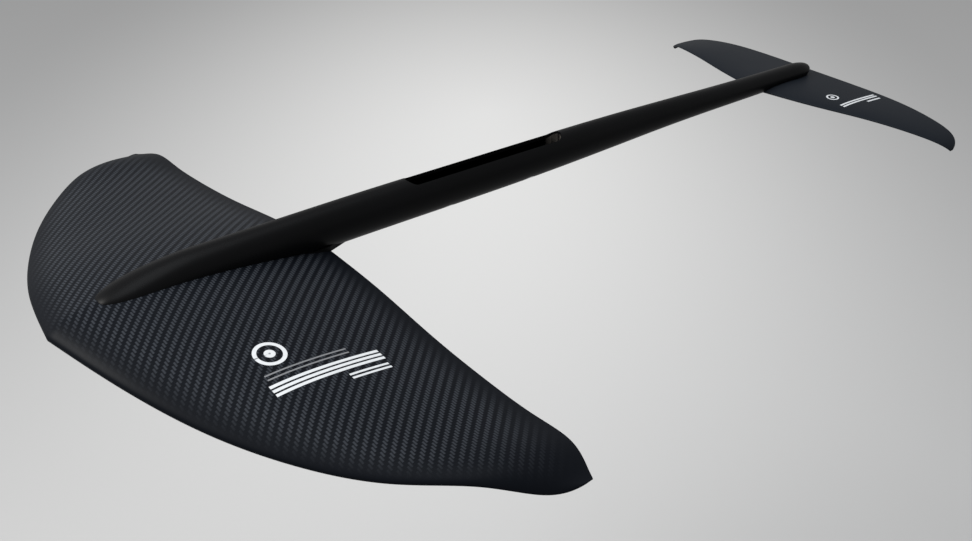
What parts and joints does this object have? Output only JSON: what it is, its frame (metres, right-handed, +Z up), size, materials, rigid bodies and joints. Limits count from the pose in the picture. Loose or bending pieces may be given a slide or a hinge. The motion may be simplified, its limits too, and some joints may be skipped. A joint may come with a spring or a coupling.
{
  "type": "hydrofoil wing set",
  "caption": "Hydrofoil front wing and rear stabilizer bolted to a carbon fuselage that has a slot-shaped socket for a mast.",
  "frame": {"origin": "centre of the flat floor of the mast socket, in the top of the fuselage", "axes": "+X forwards along the fuselage to the front wing, +Y to port, +Z up out of the mast socket, along the mast"},
  "size_m": [0.9376, 0.7296, 0.0787],
  "materials": {
    "carbon_twill": "satin clear coat over twill weave carbon",
    "fuselage_satin": "satin black moulded carbon",
    "stabilizer_satin": "satin dark slate",
    "foam": "closed-cell foam",
    "laminate_block": "solid laminate",
    "socket_liner": "moulded liner",
    "steel": "stainless",
    "brass": "machined"
  },
  "bodies": {
    "root": {"front_wing_upper_skin": "carbon_twill", "front_wing_lower_skin": "carbon_twill", "front_wing_core_port": "foam", "front_wing_core_starboard": "foam", "front_wing_root_block": "laminate_block", "front_wing_fillets": "fuselage_satin", "front_wing_screw_cups": "steel", "front_wing_screws": "steel", "front_wing_inserts": "brass", "fuselage_upper_shell": "fuselage_satin", "fuselage_lower_shell": "fuselage_satin", "fuselage_front_block": "laminate_block", "fuselage_front_core": "foam", "fuselage_rear_core": "foam", "fuselage_tail_block": "laminate_block", "mast_socket_liner": "socket_liner", "mast_screw_cups": "steel", "stabilizer_upper_skin": "stabilizer_satin", "stabilizer_lower_skin": "stabilizer_satin", "stabilizer_core_port": "foam", "stabilizer_core_starboard": "foam", "stabilizer_screw_cups": "steel", "stabilizer_screws": "steel", "stabilizer_inserts": "brass"}
  },
  "joints": []
}
